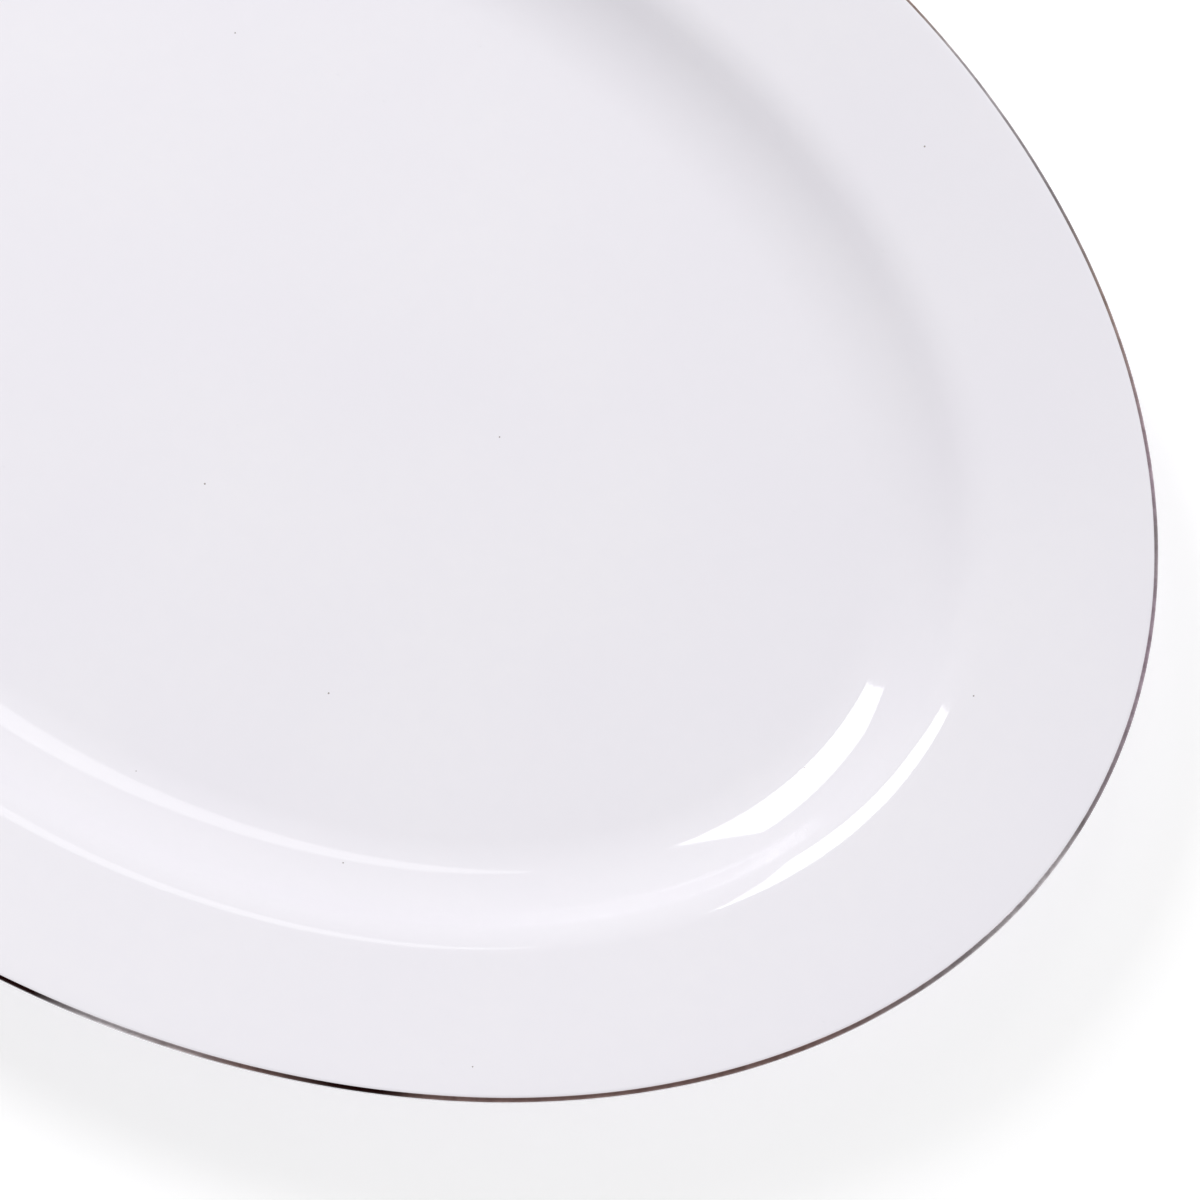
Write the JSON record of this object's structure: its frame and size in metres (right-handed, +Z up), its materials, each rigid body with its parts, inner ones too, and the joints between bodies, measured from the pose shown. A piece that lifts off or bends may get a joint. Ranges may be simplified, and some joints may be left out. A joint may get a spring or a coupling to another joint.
{
  "type": "china serving platter",
  "caption": "Oval china serving platter with a flat well, broad plain rim, gilded edge line and foot ring, for holding and serving food.",
  "frame": {"origin": "middle of the foot ring's resting plane, at the bottom centre of the platter's box", "axes": "+X along the long axis, +Y along the short axis, +Z up out of the well"},
  "size_m": [0.356, 0.261, 0.024],
  "materials": {
    "fired_clay": "unglazed, ground matt on the foot face",
    "glaze": "smooth high gloss over a cool white body",
    "gilding": "thin burnished metal line, darkened and a little worn"
  },
  "bodies": {
    "root": {"china_body": "fired_clay", "glaze_coat": "glaze", "foot_recess_glaze": "glaze", "edge_gilding": "gilding"}
  },
  "joints": []
}
